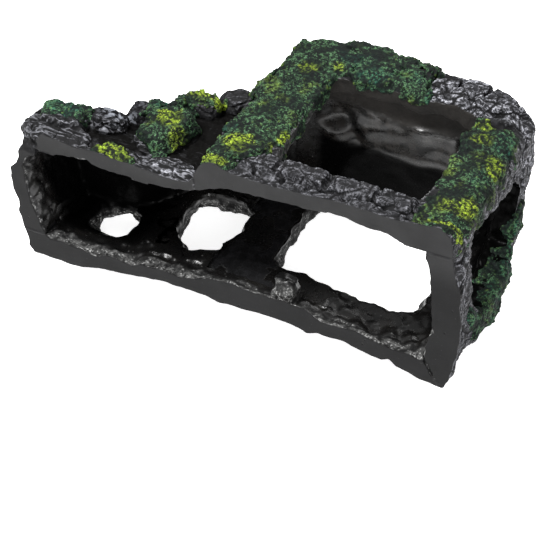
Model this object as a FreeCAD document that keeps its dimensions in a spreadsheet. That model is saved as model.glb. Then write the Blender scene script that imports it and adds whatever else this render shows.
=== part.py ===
import FreeCAD, Part
import Sketcher
import os
from FreeCAD import Vector

# Resin cave ornament: a cast ruin that is hollow and open on its flat ground face.
# It is drawn lying on its three-window side: the ground face looks along -Y, the
# stairs and the platform look along +Y, the stairs rise from -X to +X.

doc = FreeCAD.newDocument("CaveOrnament")

# ---------------------------------------------------------------- driving sizes
dims = doc.addObject("Spreadsheet::Sheet", "Dims")
SIZES = [
    ("base_length", 238.0, "lower edge of the ground ring, corner to corner; every plan size is a share of it"),
    ("floor_top", 16.0, "inside face of the three-window wall"),
    ("panel_bottom", 73.3, "inside face of the stair side panel"),
    ("panel_top", 82.2, "outside face of the stair side panel"),
    ("deck_bottom", 84.5, "inside face of the platform side frame"),
    ("deck_top", 94.0, "outside face of the platform side frame"),
    ("shoulder_low", 59.5, "where a stair block starts to lean in"),
    ("shoulder_high", 80.9, "where the leaning part meets the side panel"),
    ("body_depth", 119.0, "ground face to the back of the platform"),
    ("platform_inner", 104.7, "ground face to the inside of the platform floor"),
    ("end_inner", 227.3, "inside face of the arched end wall"),
    ("end_outer", 239.2, "outside face of the arched end wall"),
    ("foot_inner", 9.5, "inside face of the end wall at the foot of the stairs"),
    ("boulder_rise", 6.4, "height of the side boulders above the panel"),
    ("moss_rise", 2.8, "thickness of the moulded moss"),
    ("brick_rise", 2.6, "how far the stone course stands proud"),
    ("corner_rise", 4.0, "how far the corner stones stand proud"),
    ("mouth_depth", 9.5, "depth of the window mouths, from 5 mm above the inside face"),
    ("jamb_proud", 5.0, "how far the doorway stones stand proud"),
    ("centre_x", 118.53, "middle of the overall length"),
    ("centre_y", 64.498, "middle of the overall depth"),
    ("ground_z", 0.0, "lowest level"),
]
for i, (alias, value, note) in enumerate(SIZES, start=1):
    dims.set("A%d" % i, alias)
    dims.set("B%d" % i, str(value))
    dims.set("C%d" % i, note)
    dims.setAlias("B%d" % i, alias)
doc.recompute()
VALUE = {a: v for a, v, n in SIZES}
L = VALUE["base_length"]

BODIES = []


def share(v):
    return "Dims.base_length * %.5f" % v


def number(text):
    """Value in mm of a size given as a share of the length, an alias, or a sum of aliases and mm."""
    if isinstance(text, (int, float)):
        return float(text) * L
    total = 0.0
    for term in text.split("+"):
        term = term.strip()
        total += VALUE[term] if term in VALUE else float(term)
    return total


def expression(text):
    if isinstance(text, (int, float)):
        return share(text)
    out = []
    for term in text.split("+"):
        term = term.strip()
        out.append("Dims." + term if term in VALUE else term)
    return " + ".join(out)


def new_body(name):
    body = doc.addObject("PartDesign::Body", "Body_" + name)
    body.Label = name
    body.setExpression("Placement.Base.x", "-Dims.centre_x")
    body.setExpression("Placement.Base.y", "-Dims.centre_y")
    body.setExpression("Placement.Base.z", "-Dims.ground_z")
    BODIES.append(body)
    return body


def origin_plane(body, role):
    for feature in body.Origin.OriginFeatures:
        if feature.Role == role:
            return feature
    raise RuntimeError("no plane " + role)


def outline(body, name, role, offset, loops):
    """Sketch of closed outlines. Each corner is held by a distance to each axis, bound to the sheet."""
    sketch = body.newObject("Sketcher::SketchObject", name)
    sketch.AttachmentSupport = (origin_plane(body, role), [""])
    sketch.MapMode = "FlatFace"
    sign = -1.0 if role == "XZ_Plane" else 1.0
    sketch.AttachmentOffset = FreeCAD.Placement(Vector(0, 0, sign * number(offset)), FreeCAD.Rotation())
    sketch.setExpression("AttachmentOffset.Base.z", ("-(%s)" if sign < 0 else "%s") % expression(offset))
    for loop in loops:
        points = [Vector(number(a), number(b), 0) for a, b in loop]
        first = None
        ids = []
        for k in range(len(points)):
            ids.append(sketch.addGeometry(Part.LineSegment(points[k], points[(k + 1) % len(points)]), False))
        for k in range(len(ids)):
            sketch.addConstraint(Sketcher.Constraint("Coincident", ids[k], 2, ids[(k + 1) % len(ids)], 1))
        for k, (a, b) in enumerate(loop):
            for kind, size, value in (("DistanceX", a, points[k].x), ("DistanceY", b, points[k].y)):
                if abs(value) < 1e-9:
                    # a corner on an axis is pinned to it
                    axis = -2 if kind == "DistanceX" else -1
                    sketch.addConstraint(Sketcher.Constraint("PointOnObject", ids[k], 1, axis))
                    continue
                c = sketch.addConstraint(Sketcher.Constraint(kind, -1, 1, ids[k], 1, value))
                sketch.setExpression("Constraints[%d]" % c, expression(size))
    return sketch


def pad(body, name, sketch, length, taper=0.0, reverse=False):
    feature = body.newObject("PartDesign::Pad", name)
    feature.Profile = sketch
    feature.Length = number(length)
    feature.setExpression("Length", expression(length))
    feature.Reversed = reverse
    if taper:
        feature.TaperAngle = taper
    sketch.Visibility = False
    return feature


def pocket(body, name, sketch, length, reverse=False):
    """Cut, and check that something was really cut away."""
    doc.recompute()
    before = body.Shape.Volume
    feature = body.newObject("PartDesign::Pocket", name)
    feature.Profile = sketch
    feature.Length = number(length)
    feature.setExpression("Length", expression(length))
    feature.Reversed = reverse
    sketch.Visibility = False
    doc.recompute()
    if body.Shape.Volume > before - 1.0:
        raise RuntimeError("%s cuts nothing" % name)
    return feature


def slab(name, loop, bottom, rise, taper=0.0):
    """A piece drawn in plan and raised from the level 'bottom'."""
    body = new_body(name)
    sketch = outline(body, name + "_plan", "XY_Plane", bottom, [loop])
    pad(body, name + "_pad", sketch, rise, taper)
    return body


def run_y(name, loop, start, length):
    """A piece drawn in the ground plane (x, z) and carried back along +Y."""
    body = new_body(name)
    sketch = outline(body, name + "_section", "XZ_Plane", start, [loop])
    pad(body, name + "_pad", sketch, length, 0.0, True)
    return body


def run_x(name, loop, start, length):
    """A piece drawn in the end plane (y, z) and carried along +X."""
    body = new_body(name)
    sketch = outline(body, name + "_section", "YZ_Plane", start, [loop])
    pad(body, name + "_pad", sketch, length)
    return body


# ---------------------------------------------------------------- stair geometry
STEP_X = [0.040, 0.085, 0.165, 0.245, 0.315, 0.380, 0.430]   # risers
TREAD = [0.205, 0.225, 0.295, 0.360, 0.415, 0.465]           # tread heights above the ground face
LEDGE = [0.105, 0.140, 0.205, 0.275, 0.330, 0.390]           # back edge of the side panel
INNER = [0.175, 0.188, 0.204, 0.306, 0.335, 0.385]           # underside of each block

# ---------------------------------------------------------------- three-window wall
lower = run_y("lower_window_wall",
              [(-0.012, 0), (0.10, 0), (0.17, 0.014), (0.26, 0.028), (0.35, 0.032), (0.60, 0.032),
               (0.69, 0.026), (0.78, 0.030), (0.87, 0.022), (0.92, 0.010), (0.95, 0), (1.0, 0),
               ("end_outer", "floor_top"), (-0.020, "floor_top")], 0.0, "body_depth")
stairs = [(-0.06, TREAD[0])]
for i in range(6):
    if i:
        stairs.append((STEP_X[i], TREAD[i]))
    stairs.append((STEP_X[i + 1], TREAD[i]))
stairs += [(0.430, 0.56), (-0.06, 0.56)]
sk = outline(lower, "stair_edge", "XY_Plane", "floor_top+10", [stairs])
pocket(lower, "stair_edge_cut", sk, 0.12)
# each window is a funnel: a wide mouth on the inside, a smaller hole through the outer skin
small_mouth = [(0.070, 0.100), (0.084, 0.075), (0.115, 0.062), (0.160, 0.075), (0.185, 0.075), (0.203, 0.095), (0.204, 0.140),
               (0.195, 0.160), (0.165, 0.172), (0.085, 0.168), (0.068, 0.145)]
medium_mouth = [(0.300, 0.135), (0.345, 0.098), (0.365, 0.094), (0.400, 0.108), (0.423, 0.120), (0.425, 0.171), (0.428, 0.255),
                (0.405, 0.292), (0.367, 0.303), (0.319, 0.295), (0.300, 0.277), (0.285, 0.231), (0.287, 0.160)]
large_mouth = [(0.542, 0.145), (0.560, 0.124), (0.650, 0.115), (0.750, 0.105), (0.850, 0.110), (0.882, 0.130), (0.893, 0.170),
               (0.895, 0.300), (0.885, 0.380), (0.860, 0.425), (0.700, 0.432), (0.580, 0.432), (0.540, 0.400), (0.535, 0.300)]
sk = outline(lower, "window_mouths", "XY_Plane", "floor_top+5", [small_mouth, medium_mouth, large_mouth])
pocket(lower, "mouth_cut", sk, "mouth_depth")
small = [(0.094, 0.120), (0.120, 0.100), (0.170, 0.098), (0.195, 0.115), (0.192, 0.156), (0.160, 0.166), (0.100, 0.163)]
medium = [(0.300, 0.150), (0.340, 0.120), (0.390, 0.128), (0.415, 0.140), (0.420, 0.200), (0.420, 0.255), (0.400, 0.286),
          (0.365, 0.298), (0.320, 0.290), (0.304, 0.272), (0.290, 0.230), (0.292, 0.175)]
large = [(0.552, 0.160), (0.580, 0.135), (0.650, 0.125), (0.750, 0.118), (0.850, 0.130), (0.875, 0.160), (0.882, 0.240),
         (0.876, 0.360), (0.850, 0.418), (0.700, 0.426), (0.585, 0.426), (0.552, 0.395), (0.545, 0.300)]
sk = outline(lower, "three_windows", "XY_Plane", "floor_top+5", [small, medium, large])
pocket(lower, "window_cut", sk, 0.12)

# ---------------------------------------------------------------- end wall at the foot of the stairs
foot = run_y("left_end_wall",
             [(-0.020, "floor_top"), (-0.029, 0.190), (-0.030, 0.223), (-0.014, 0.254), (-0.002, "panel_bottom"),
              ("foot_inner", "panel_bottom"), ("foot_inner", "floor_top")], 0.0, TREAD[0])
sk = outline(foot, "lean", "YZ_Plane", 0.08, [[(TREAD[0], "shoulder_low"), (0.25, "shoulder_low"), (0.25, 0.36), (0.120, 0.36), (0.120, "panel_bottom")]])
pocket(foot, "lean_cut", sk, 0.15)

# ---------------------------------------------------------------- stair side panel, thin ring edge at its front
panel = run_y("upper_side_panel",
              [(-0.002, "panel_bottom"), (0.003, 0.327), (0.020, "panel_top"), (STEP_X[6], "panel_top"),
               (STEP_X[6], "panel_bottom")], 0.0, LEDGE[5])
ledge = [(-0.06, LEDGE[0])]
for i in range(6):
    if i:
        ledge.append((STEP_X[i], LEDGE[i]))
    if i < 5:
        ledge.append((STEP_X[i + 1], LEDGE[i]))
ledge += [(STEP_X[5], 0.45), (-0.06, 0.45)]
ledge = [p for k, p in enumerate(ledge) if k == 0 or p != ledge[k - 1]]
ledge = [p for p in ledge if p != (STEP_X[5], LEDGE[5])]
sk = outline(panel, "ledge_edge", "XY_Plane", "panel_top+10", [ledge])
pocket(panel, "ledge_cut", sk, 0.12)

# ---------------------------------------------------------------- stair blocks
for i in range(6):
    run_x("step_%d" % (i + 1),
          [(INNER[i], "floor_top"), (TREAD[i], "floor_top"), (TREAD[i], "shoulder_low"), (LEDGE[i], "shoulder_high"),
           (LEDGE[i], "panel_bottom"), (INNER[i], 0.240)],
          STEP_X[i], STEP_X[i + 1] - STEP_X[i])

# ---------------------------------------------------------------- platform floor
run_y("platform_slab",
      [(STEP_X[6], "floor_top"), ("end_inner", "floor_top"), ("end_inner", "deck_bottom"), (0.500, "deck_bottom"),
       (0.465, "panel_bottom"), (STEP_X[6], "panel_bottom")], "platform_inner", 0.060)

# ---------------------------------------------------------------- platform side frame with its large window
deck = run_y("deck_frame_panel",
             [(STEP_X[6], "panel_bottom"), (0.465, "panel_bottom"), (0.500, "deck_bottom"), (0.990, "deck_bottom"),
              (0.990, 0.385), (0.975, "deck_top"), (0.442, "deck_top"), (STEP_X[6], 0.385)], 0.0, "body_depth")
sk = outline(deck, "deck_window", "XY_Plane", "deck_top+5",
             [[(0.565, 0.094), (0.885, 0.094), (0.890, 0.200), (0.888, 0.415), (0.555, 0.415), (0.560, 0.250)]])
pocket(deck, "deck_window_cut", sk, 0.10)

# ---------------------------------------------------------------- arched end wall
end = run_x("right_end_wall",
            [(0, "floor_top"), ("body_depth", "floor_top"), ("body_depth", "deck_bottom"), (0, "deck_bottom")],
            "end_inner", 0.050)
sk = outline(end, "doorway", "YZ_Plane", 1.05,
             [[(0.085, 0.100), (0.140, 0.082), (0.400, 0.082), (0.435, 0.120), (0.435, 0.200), (0.395, 0.265),
               (0.330, 0.295), (0.150, 0.295), (0.095, 0.250)]])
pocket(end, "doorway_cut", sk, 0.15)

# ---------------------------------------------------------------- bonded stones
slab("back_coping", [(0.450, "body_depth"), (0.450, 0.515), (0.560, 0.530), (0.640, 0.542), (0.800, 0.540),
                     (0.940, 0.520), (0.985, "body_depth")], 0.300, 0.094)
COURSE = [(0.480, 0.590), (0.597, 0.693), (0.700, 0.800), (0.807, 0.880)]
for i, (a, b) in enumerate(COURSE):
    slab("front_brick_%d" % (i + 1), [(a, 0.042), (b, 0.038), (b, 0.092), (a, 0.090)], "deck_top", "brick_rise", -12)
slab("corner_stone_1", [(0.760, 0.430), (0.838, 0.425), (0.842, 0.495), (0.762, 0.497)], "deck_top", "corner_rise", -12)
slab("corner_stone_2", [(0.850, 0.425), (0.930, 0.440), (0.930, 0.495), (0.852, 0.495)], "deck_top", "corner_rise", -12)
slab("corner_stone_3", [(0.937, 0.430), (0.970, 0.435), (0.966, 0.490), (0.937, 0.493)], "deck_top", "corner_rise", -12)
run_x("front_jamb_stone", [(0, 0.080), (0.062, 0.085), (0.068, 0.200), (0.060, 0.330), (0, 0.335)], "end_outer", "jamb_proud")
run_x("back_jamb_stone", [(0.445, 0.070), (0.490, 0.075), (0.495, 0.335), (0.450, 0.325), (0.450, 0.200)], "end_outer", "jamb_proud")
run_y("ring_filler", [(0.590, "floor_top"), (0.650, "floor_top"), (0.648, 0.105), (0.625, 0.125), (0.600, 0.115)], 0.012, 0.035)

# ---------------------------------------------------------------- boulders along the stair side
slab("foot_boulder", [(0.030, 0.010), (0.118, 0.005), (0.122, 0.080), (0.090, 0.100), (0.045, 0.095)], "panel_top", "boulder_rise", -22)
slab("white_boulder", [(0.126, 0.060), (0.195, 0.070), (0.200, 0.132), (0.128, 0.132)], "panel_top", "boulder_rise", -22)
slab("ridge_boulder", [(0.205, 0.125), (0.238, 0.120), (0.242, 0.195), (0.206, 0.195)], "panel_top", "boulder_rise", -15)
slab("middle_boulder", [(0.250, 0.020), (0.340, 0.015), (0.360, 0.080), (0.345, 0.175), (0.250, 0.185), (0.246, 0.100)], "panel_top", "boulder_rise", -22)
slab("upper_boulder", [(0.255, 0.195), (0.335, 0.190), (0.350, 0.240), (0.330, 0.270), (0.262, 0.265)], "panel_top", "boulder_rise", -22)
slab("top_boulder", [(0.356, 0.225), (0.405, 0.215), (0.422, 0.300), (0.422, 0.375), (0.390, 0.370), (0.370, 0.310)], "panel_top", "boulder_rise", -18)

# ---------------------------------------------------------------- moulded moss
slab("moss_deck_left", [(0.450, 0.010), (0.470, 0.005), (0.478, 0.100), (0.545, 0.120), (0.548, 0.420), (0.560, 0.490),
                        (0.455, 0.490), (0.452, 0.250)], "deck_top", "moss_rise", -20)
slab("moss_deck_back", [(0.568, 0.425), (0.700, 0.422), (0.750, 0.430), (0.745, 0.495), (0.568, 0.495)], "deck_top", "moss_rise", -20)
slab("moss_deck_right", [(0.898, 0.100), (0.900, 0.030), (0.968, 0.020), (0.970, 0.300), (0.968, 0.420), (0.899, 0.415),
                         (0.897, 0.250)], "deck_top", "moss_rise", -20)
slab("moss_ledge", [(0.180, 0.002), (0.240, 0.002), (0.240, 0.045), (0.190, 0.045)], "panel_top", "moss_rise", -20)
slab("moss_foot", [(0.056, 0.032), (0.100, 0.030), (0.105, 0.075), (0.060, 0.078)], "panel_top+6.4", "moss_rise", -20)
slab("moss_middle", [(0.268, 0.040), (0.325, 0.036), (0.340, 0.085), (0.328, 0.160), (0.268, 0.165)], "panel_top+6.4", "moss_rise", -20)
slab("moss_upper", [(0.274, 0.212), (0.320, 0.208), (0.332, 0.240), (0.315, 0.255), (0.278, 0.252)], "panel_top+6.4", "moss_rise", -20)
run_x("moss_sill", [(0.110, 0.020), (0.180, 0.005), (0.380, 0.005), (0.430, 0.030), (0.420, 0.062), (0.140, 0.062)], "end_outer", "jamb_proud")

doc.recompute()

# ---------------------------------------------------------------- check, then write
for obj in doc.Objects:
    for word in ("Invalid", "Error"):
        if word in obj.State:
            raise RuntimeError("%s is %s" % (obj.Name, obj.State))
box = FreeCAD.BoundBox()
total = 0.0
for body in BODIES:
    shape = body.Shape
    if shape.isNull() or not shape.isValid() or len(shape.Solids) < 1:
        raise RuntimeError("bad shape: " + body.Label)
    box.add(shape.BoundBox)
    total += shape.Volume
os.makedirs("parts", exist_ok=True)
for body in BODIES:
    body.Shape.exportStep("parts/%s.step" % body.Label)
    print("%-20s solids %d  volume %9.1f" % (body.Label, len(body.Shape.Solids), body.Shape.Volume))
print("pieces", len(BODIES), "volume cm3", round(total / 1000, 1))
print("box %.3f %.3f  %.3f %.3f  %.3f %.3f" % (box.XMin, box.XMax, box.YMin, box.YMax, box.ZMin, box.ZMax))
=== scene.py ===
import bpy, math
import numpy as np
from mathutils import Vector, Matrix


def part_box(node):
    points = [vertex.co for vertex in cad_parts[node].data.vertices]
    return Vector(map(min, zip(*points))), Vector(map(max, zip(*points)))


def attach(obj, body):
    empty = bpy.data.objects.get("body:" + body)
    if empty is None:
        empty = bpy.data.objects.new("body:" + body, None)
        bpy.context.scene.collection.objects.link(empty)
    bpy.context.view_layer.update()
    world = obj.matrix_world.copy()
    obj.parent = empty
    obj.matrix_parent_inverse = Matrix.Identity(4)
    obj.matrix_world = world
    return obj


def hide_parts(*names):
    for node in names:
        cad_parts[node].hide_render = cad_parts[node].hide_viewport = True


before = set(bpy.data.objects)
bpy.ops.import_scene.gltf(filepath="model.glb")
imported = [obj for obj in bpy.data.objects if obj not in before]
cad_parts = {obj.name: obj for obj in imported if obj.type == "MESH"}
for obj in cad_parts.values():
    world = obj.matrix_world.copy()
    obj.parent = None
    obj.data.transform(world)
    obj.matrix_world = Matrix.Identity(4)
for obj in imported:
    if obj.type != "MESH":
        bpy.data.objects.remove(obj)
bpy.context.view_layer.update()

f4 = np.float32

# ------------------------------------------------------------------ frame
# Shapes are drawn in millimetres from the ring corner; these two shifts carry them to the CAD frame.
S = 238.0
_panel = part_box("upper_side_panel")
CX = 0.43 * S - _panel[1].x * 1000.0
CY = -_panel[0].y * 1000.0


# ------------------------------------------------------------------ noise
def _spline_weights(c, lo, s, n):
    t = (c - lo) / s
    i = np.floor(t).astype(int)
    f = t - i
    w = [(1 - f) ** 3 / 6, (3 * f ** 3 - 6 * f ** 2 + 4) / 6, (-3 * f ** 3 + 3 * f ** 2 + 3 * f + 1) / 6, f ** 3 / 6]
    W = np.zeros((len(c), n), f4)
    r = np.arange(len(c))
    for k in range(4):
        W[r, np.clip(i + k, 0, n - 1)] += w[k].astype(f4)
    return W


def lat(g, s, seed):
    """Smooth lattice noise on a grid, about -1 to 1, the same for every piece."""
    if not hasattr(s, "__len__"):
        s = (s, s, s)
    lo = (-40.0, -40.0, -40.0)
    hi = (290.0, 190.0, 150.0)
    n = [int((hi[k] - lo[k]) / s[k]) + 5 for k in range(3)]
    T = np.random.RandomState(seed).uniform(-1, 1, n).astype(f4)
    a = _spline_weights(g.x, lo[0], s[0], n[0])
    b = _spline_weights(g.y, lo[1], s[1], n[1])
    c = _spline_weights(g.z, lo[2], s[2], n[2])
    out = np.tensordot(a, T, (1, 0))
    out = np.tensordot(out, b, (1, 1))      # x, nz, y
    out = np.tensordot(out, c, (1, 1))      # x, y, z
    return out * f4(2.6)


_TAB = {}


def vn(P, s, seed):
    """Value noise at points, about -1 to 1."""
    if seed not in _TAB:
        _TAB[seed] = np.random.RandomState(seed + 977).uniform(-1, 1, (48, 48, 48)).astype(f4)
    T = _TAB[seed]
    q = P / np.asarray(s, float)
    i = np.floor(q).astype(int)
    f = q - i
    f = f * f * (3 - 2 * f)
    out = 0
    for dx in (0, 1):
        wx = f[:, 0] if dx else 1 - f[:, 0]
        for dy in (0, 1):
            wy = f[:, 1] if dy else 1 - f[:, 1]
            for dz in (0, 1):
                wz = f[:, 2] if dz else 1 - f[:, 2]
                out = out + wx * wy * wz * T[(i[:, 0] + dx) % 48, (i[:, 1] + dy) % 48, (i[:, 2] + dz) % 48]
    return out


def worley(P, s, seed):
    """Distances to the nearest and second nearest cell point, in cell sizes, and the cell's random value."""
    q = P / np.asarray(s, float)
    base = np.floor(q).astype(np.int64)
    f1 = np.full(len(P), 9.0)
    f2 = np.full(len(P), 9.0)
    val = np.zeros(len(P))
    for dx in (-1, 0, 1):
        for dy in (-1, 0, 1):
            for dz in (-1, 0, 1):
                c = base + (dx, dy, dz)
                hsh = (c[:, 0] * 73856093) ^ (c[:, 1] * 19349663) ^ (c[:, 2] * 83492791) ^ (seed * 2654435761)
                hsh &= 0xFFFFFFFF
                hsh = (hsh ^ (hsh >> 15)) * 2246822519 & 0xFFFFFFFF
                hsh = (hsh ^ (hsh >> 13)) * 3266489917 & 0xFFFFFFFF
                hsh ^= hsh >> 16
                jx = (hsh & 1023) / 1023.0
                jy = ((hsh >> 10) & 1023) / 1023.0
                jz = ((hsh >> 20) & 1023) / 1023.0
                d = np.sqrt((c[:, 0] + jx - q[:, 0]) ** 2 + (c[:, 1] + jy - q[:, 1]) ** 2 + (c[:, 2] + jz - q[:, 2]) ** 2)
                near = d < f1
                f2 = np.where(near, f1, np.minimum(f2, d))
                val = np.where(near, ((hsh >> 7) & 255) / 255.0, val)
                f1 = np.where(near, d, f1)
    return f1, f2, val


def sstep(a, b, t):
    t = np.clip((t - a) / (b - a), 0, 1)
    return t * t * (3 - 2 * t)


def smin(a, b, k):
    h = np.clip(0.5 + 0.5 * (b - a) / k, 0, 1)
    return b * (1 - h) + a * h - k * h * (1 - h)


def smax(a, b, k):
    return -smin(-a, -b, k)


def sd_poly(px, py, pts):
    """Signed distance to a closed outline, negative inside. pts are shares of the base length."""
    pts = [(a * S, b * S) for a, b in pts]
    d = np.full(np.broadcast(px, py).shape, 1e9)
    inside = np.zeros(d.shape, bool)
    for k in range(len(pts)):
        ax, ay = pts[k]
        bx, by = pts[(k + 1) % len(pts)]
        ex, ey = bx - ax, by - ay
        wx, wy = px - ax, py - ay
        t = np.clip((wx * ex + wy * ey) / (ex * ex + ey * ey), 0, 1)
        d = np.minimum(d, (wx - ex * t) ** 2 + (wy - ey * t) ** 2)
        crosses = ((ay > py) != (by > py)) & (px < ex * (py - ay) / (ey if abs(ey) > 1e-12 else 1e-12) + ax)
        inside ^= crosses
    d = np.sqrt(d)
    return np.where(inside, -d, d)


def d_line(px, py, pts):
    pts = [(a * S, b * S) for a, b in pts]
    d = np.full(np.broadcast(px, py).shape, 1e9)
    for k in range(len(pts) - 1):
        ax, ay = pts[k]
        bx, by = pts[k + 1]
        ex, ey = bx - ax, by - ay
        wx, wy = px - ax, py - ay
        t = np.clip((wx * ex + wy * ey) / (ex * ex + ey * ey + 1e-9), 0, 1)
        d = np.minimum(d, (wx - ex * t) ** 2 + (wy - ey * t) ** 2)
    return np.sqrt(d)


class Grid:
    def __init__(g, lo, hi, h):
        """lo and hi in shares of the base length, h in mm"""
        g.h = h
        a = [np.arange(math.floor(lo[k] * S / h) - 2, math.ceil(hi[k] * S / h) + 3) * h + 0.37 * h for k in range(3)]
        g.x, g.y, g.z = a
        g.X = g.x[:, None, None].astype(f4)
        g.Y = g.y[None, :, None].astype(f4)
        g.Z = g.z[None, None, :].astype(f4)


# ------------------------------------------------------------------ outlines of the casting
XL = ([0, .023, .062, .10, .127, .1615, .192, .223, .238, .254, .285, .304, .327, .342, .360, .380, .42],
      [-.002, -.008, -.012, -.0196, -.022, -.0215, -.029, -.030, -.027, -.014, -.006, .001, .005, .016, .030, .042, .06])
XR = ([0, .003, .028, .064, .10, .128, .18, .22, .244, .30, .332, .364, .38, .396, .408, .43],
      [.994, .997, 1.006, 1.012, 1.019, 1.020, 1.022, 1.018, 1.015, 1.001, .995, .991, .988, .980, .969, .94])
ZB = ([-.05, .052, .098, .132, .171, .209, .248, .267, .305, .344, .40, .448, .478, .50, .536, .572, .608, .656, .688,
       .712, .776, .808, .84, .86, .876, .892, .92, .952, .996, 1.1],
      [0, .001, .001, .005, .016, .023, .027, .033, .040, .042, .040, .042, .034, .038, .035, .040, .039, .038, .026,
       .036, .039, .032, .026, .022, .030, .018, .014, .006, .001, 0])
ZR = ([-.05, .0, .012, .03, .067, .105, .144, .171, .194, .217, .27, .317, .363, .394, .417, .428, .44, .448, .46, .48,
       .512, .56, .612, .68, .72, .80, .88, .92, .96, .98, 1.05],
      [.32, .325, .332, .347, .352, .348, .3415, .345, .35, .347, .344, .3415, .3365, .3385, .343, .358, .385, .398, .407,
       .410, .398, .395, .396, .400, .404, .404, .404, .410, .416, .404, .39])
IN_FLAT = [(.044, .2865), (.071, .294), (.098, .3115), (.125, .313), (.155, .321), (.171, .323), (.186, .3135),
           (.209, .3077), (.248, .31), (.275, .3115), (.30, .302), (.325, .308), (.363, .3115), (.40, .317), (.44, .331),
           (.478, .346), (.49, .352), (.532, .358), (.60, .362), (.68, .366), (.728, .371), (.768, .372), (.80, .367),
           (.852, .362), (.88, .352), (.904, .348), (.928, .344), (.938, .332), (.946, .30), (.95, .276), (.954, .252),
           (.956, .22), (.96, .18), (.964, .148), (.957, .116), (.953, .096), (.956, .07), (.948, .056), (.92, .064),
           (.88, .066), (.84, .068), (.80, .08), (.76, .076), (.72, .076), (.68, .096), (.64, .098), (.608, .098),
           (.56, .096), (.52, .10), (.48, .096), (.448, .092), (.413, .077), (.39, .073), (.344, .073), (.286, .069),
           (.259, .058), (.209, .065), (.171, .05), (.132, .058), (.0515, .058), (.043, .064), (.028, .10), (.013, .15),
           (.006, .20), (.004, .25), (.012, .275), (.03, .284)]
IN_DEEP = [(.060, .290), (.10, .302), (.2, .304), (.30, .300), (.40, .312), (.44, .328), (.478, .345), (.53, .357),
           (.6, .360), (.80, .362), (.88, .352), (.93, .342), (.945, .33), (.952, .28), (.958, .2), (.955, .1),
           (.95, .07), (.92, .06), (.85, .058), (.75, .062), (.68, .068), (.6, .075), (.5, .075), (.4, .070),
           (.3, .066), (.2, .058), (.1, .053), (.048, .056), (.036, .10), (.026, .15), (.018, .20), (.016, .24), (.024, .272), (.044, .288)]
STEP_X = [.040, .085, .165, .245, .315, .380, .430]
STEP_XT = [.034, .118, .200, .278, .345, .409, .434]
TREAD = [.205, .225, .295, .360, .415, .465]
LEDGE = [.105, .140, .205, .275, .330, .390]
YB = ([.42, .43, .45, .50, .55, .60, .65, .70, .75, .80, .87, .95, .985, 1.02],
      [.49, .497, .512, .52, .53, .543, .541, .544, .538, .539, .53, .512, .498, .47])
YIN = ([-.05, .04, .085, .165, .20, .24, .262, .315, .38, .43, .46, 1.1], [.172, .178, .186, .192, .212, .255, .300, .335, .385, .425, .44, .44])
YINTOP = ([-.05, .04, .085, .165, .245, .315, .38, .43, .47, 1.1], [.08, .085, .10, .15, .22, .285, .345, .40, .46, .6])
W_SMALL_T = [(.070, .10), (.084, .075), (.115, .062), (.16, .078), (.185, .075), (.203, .095), (.204, .14), (.195, .160), (.17, .180), (.126, .188), (.08, .176), (.066, .145)]
W_SMALL_B = [(.100, .118), (.12, .100), (.17, .098), (.195, .115), (.195, .16), (.181, .179), (.145, .186), (.112, .178), (.093, .160)]
W_MED_T = [(.300, .135), (.345, .098), (.365, .094), (.40, .108), (.423, .116), (.420, .145), (.425, .171), (.430, .236), (.430, .27), (.405, .297), (.367, .311), (.319, .297), (.300, .279), (.285, .231), (.287, .16)]
W_MED_B = [(.300, .15), (.34, .12), (.39, .128), (.415, .14), (.422, .20), (.425, .28), (.407, .314), (.378, .306), (.311, .308), (.275, .294), (.279, .253), (.286, .18)]
W_LARGE_T = [(.542, .150), (.56, .132), (.60, .131), (.65, .129), (.70, .123), (.75, .117), (.80, .115), (.85, .114), (.882, .130), (.893, .17), (.895, .30), (.885, .38), (.86, .425), (.70, .43), (.58, .43), (.54, .40), (.535, .30), (.54, .20)]
W_LARGE_B = [(.552, .165), (.58, .145), (.65, .135), (.75, .125), (.85, .13), (.875, .16), (.882, .24), (.878, .36), (.85, .42), (.70, .43), (.58, .425), (.545, .40), (.53, .32), (.54, .22)]
W_DECK = [(.572, .094), (.72, .096), (.80, .094), (.884, .095), (.893, .14), (.895, .26), (.893, .41), (.84, .418), (.75, .413), (.66, .42), (.57, .41), (.557, .39), (.560, .30), (.564, .20)]
DOOR = [(.150, .09), (.130, .15), (.113, .22), (.104, .29), (.088, .335), (.11, .345), (.18, .322), (.25, .308), (.30, .300), (.37, .285),
        (.405, .24), (.40, .15), (.385, .10), (.30, .085), (.2, .088)]


def plateau(px, py, cx, cy, rx, ry, rot, top, fall=.06, edge=.62, power=2.6):
    """A rounded lump as a height over the plan, in shares: flat near its middle, falling off at its rim."""
    c, s = math.cos(math.radians(rot)), math.sin(math.radians(rot))
    a = ((px - cx) * c + (py - cy) * s) / rx
    b = (-(px - cx) * s + (py - cy) * c) / ry
    r = (np.abs(a) ** power + np.abs(b) ** power) ** (1 / power)
    return top - fall * sstep(edge, 1.12, r) - np.clip(r - 1.1, 0, 9) * .25


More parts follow.
